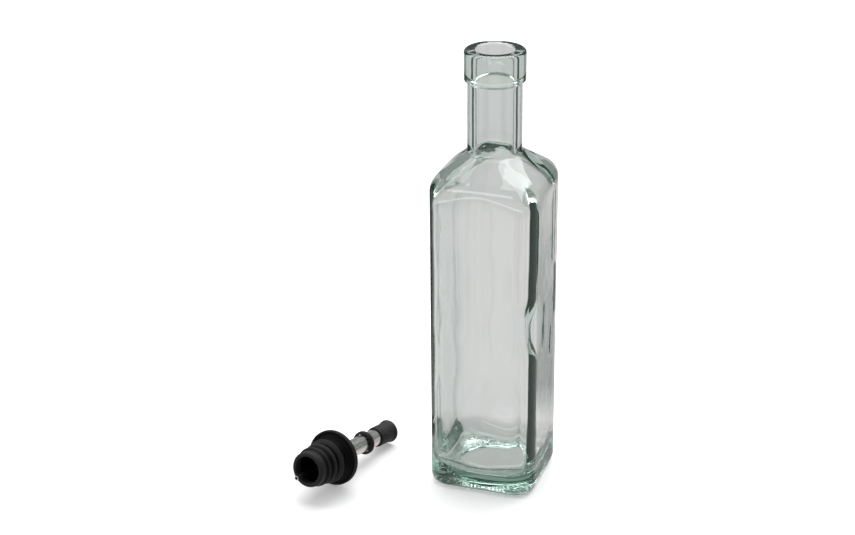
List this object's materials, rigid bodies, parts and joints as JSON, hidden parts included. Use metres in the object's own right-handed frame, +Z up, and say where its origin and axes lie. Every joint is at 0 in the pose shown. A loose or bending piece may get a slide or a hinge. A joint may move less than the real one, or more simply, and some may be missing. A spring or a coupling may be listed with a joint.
{
  "type": "pourer bottle",
  "caption": "Square clear-glass bottle with a round neck, standing open and empty, with its rubber-stoppered steel pourer lying beside it.",
  "frame": {"origin": "middle of the outline of the bottle and pourer together, on the surface they stand on", "axes": "+Z up along the bottle's neck; the bottle's flat sides face X and Y; the pourer lies on the -X side with its stopper towards -Y"},
  "size_m": [0.1142, 0.0942, 0.225],
  "materials": {
    "glass": "clear, faint green, thick corners",
    "stopper_rubber": "matt black",
    "steel": "satin",
    "ring_rubber": "matt black",
    "cap_rubber": "matt dark grey",
    "air_tube_steel": "satin"
  },
  "bodies": {
    "root": {"bottle": "glass", "stopper": "stopper_rubber", "spout_tube": "steel", "tube_ring": "ring_rubber", "tip_cap": "cap_rubber", "air_tube": "air_tube_steel"}
  },
  "joints": []
}
